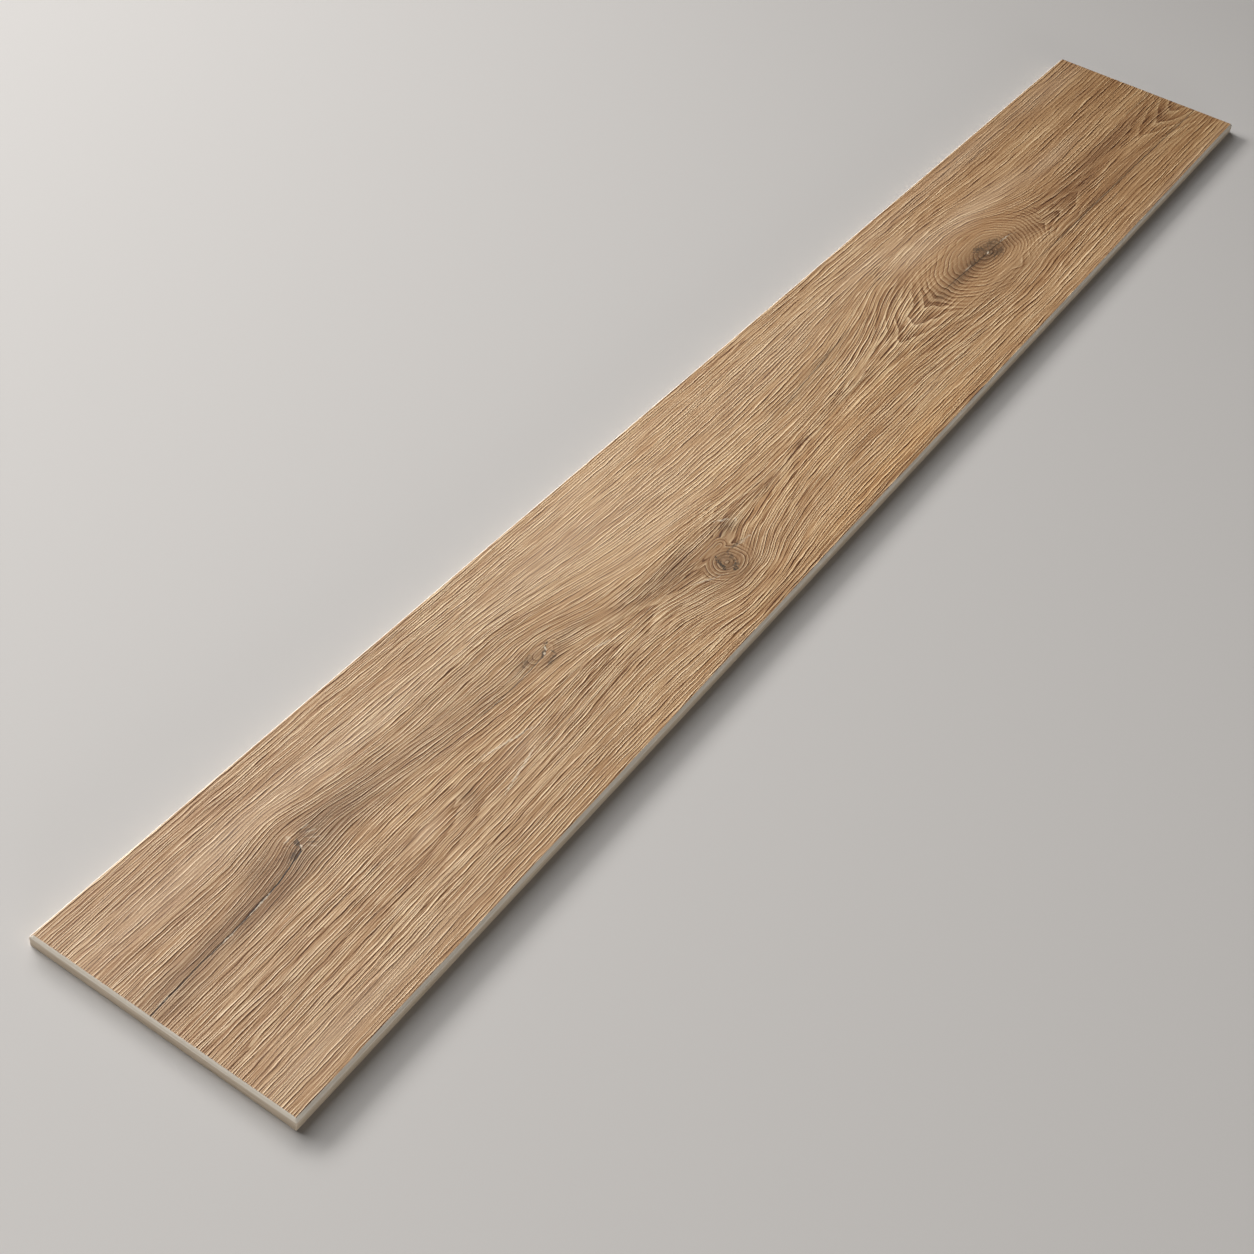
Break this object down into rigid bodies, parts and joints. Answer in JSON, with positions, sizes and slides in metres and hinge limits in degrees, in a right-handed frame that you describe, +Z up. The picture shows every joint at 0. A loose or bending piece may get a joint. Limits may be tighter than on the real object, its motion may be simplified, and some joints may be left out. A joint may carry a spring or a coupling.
{
  "type": "wood look porcelain plank tile",
  "caption": "Long rectangular porcelain plank tile with an embossed wood grain face, a narrow bevel round the face and a keyed back, for tiled floors and walls.",
  "frame": {"origin": "middle of the plank's footprint, on the surface that the back lies on", "axes": "+X along the plank, +Y across it, +Z up out of the wood grain face"},
  "size_m": [1.5, 0.2, 0.01],
  "materials": {
    "porcelain": "matt printed wood grain glaze over a beige porcelain body"
  },
  "bodies": {
    "root": {"plank_tile": "porcelain"}
  },
  "joints": []
}
